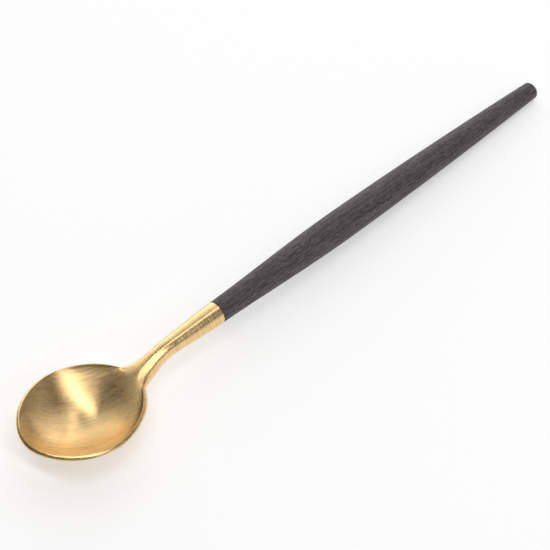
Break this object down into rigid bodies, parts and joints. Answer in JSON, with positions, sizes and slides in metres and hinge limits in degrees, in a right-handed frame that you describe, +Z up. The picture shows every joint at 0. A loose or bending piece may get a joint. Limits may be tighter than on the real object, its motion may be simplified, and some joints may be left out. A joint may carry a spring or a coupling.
{
  "type": "table spoon",
  "caption": "Table spoon with a satin gold-coloured metal bowl and neck on a slender, turned, dark wood handle with a blunt tip.",
  "frame": {"origin": "middle of the spoon's footprint box, on the table it lies on", "axes": "+X along the spoon from the bowl to the handle's tip, +Y across the bowl, +Z up out of the open bowl"},
  "size_m": [0.2105, 0.0334, 0.0122],
  "materials": {
    "gold_metal": "satin brushed stainless steel with a gold-coloured coating",
    "tang_steel": "plain drawn stainless steel rod",
    "glue": "cured amber epoxy",
    "dark_wood": "turned hardwood stained charcoal, matte, fine grain along its length"
  },
  "bodies": {
    "root": {"spoon_head": "gold_metal", "tang_rod": "tang_steel", "glue_sleeve": "glue", "handle_grip": "dark_wood"}
  },
  "joints": []
}
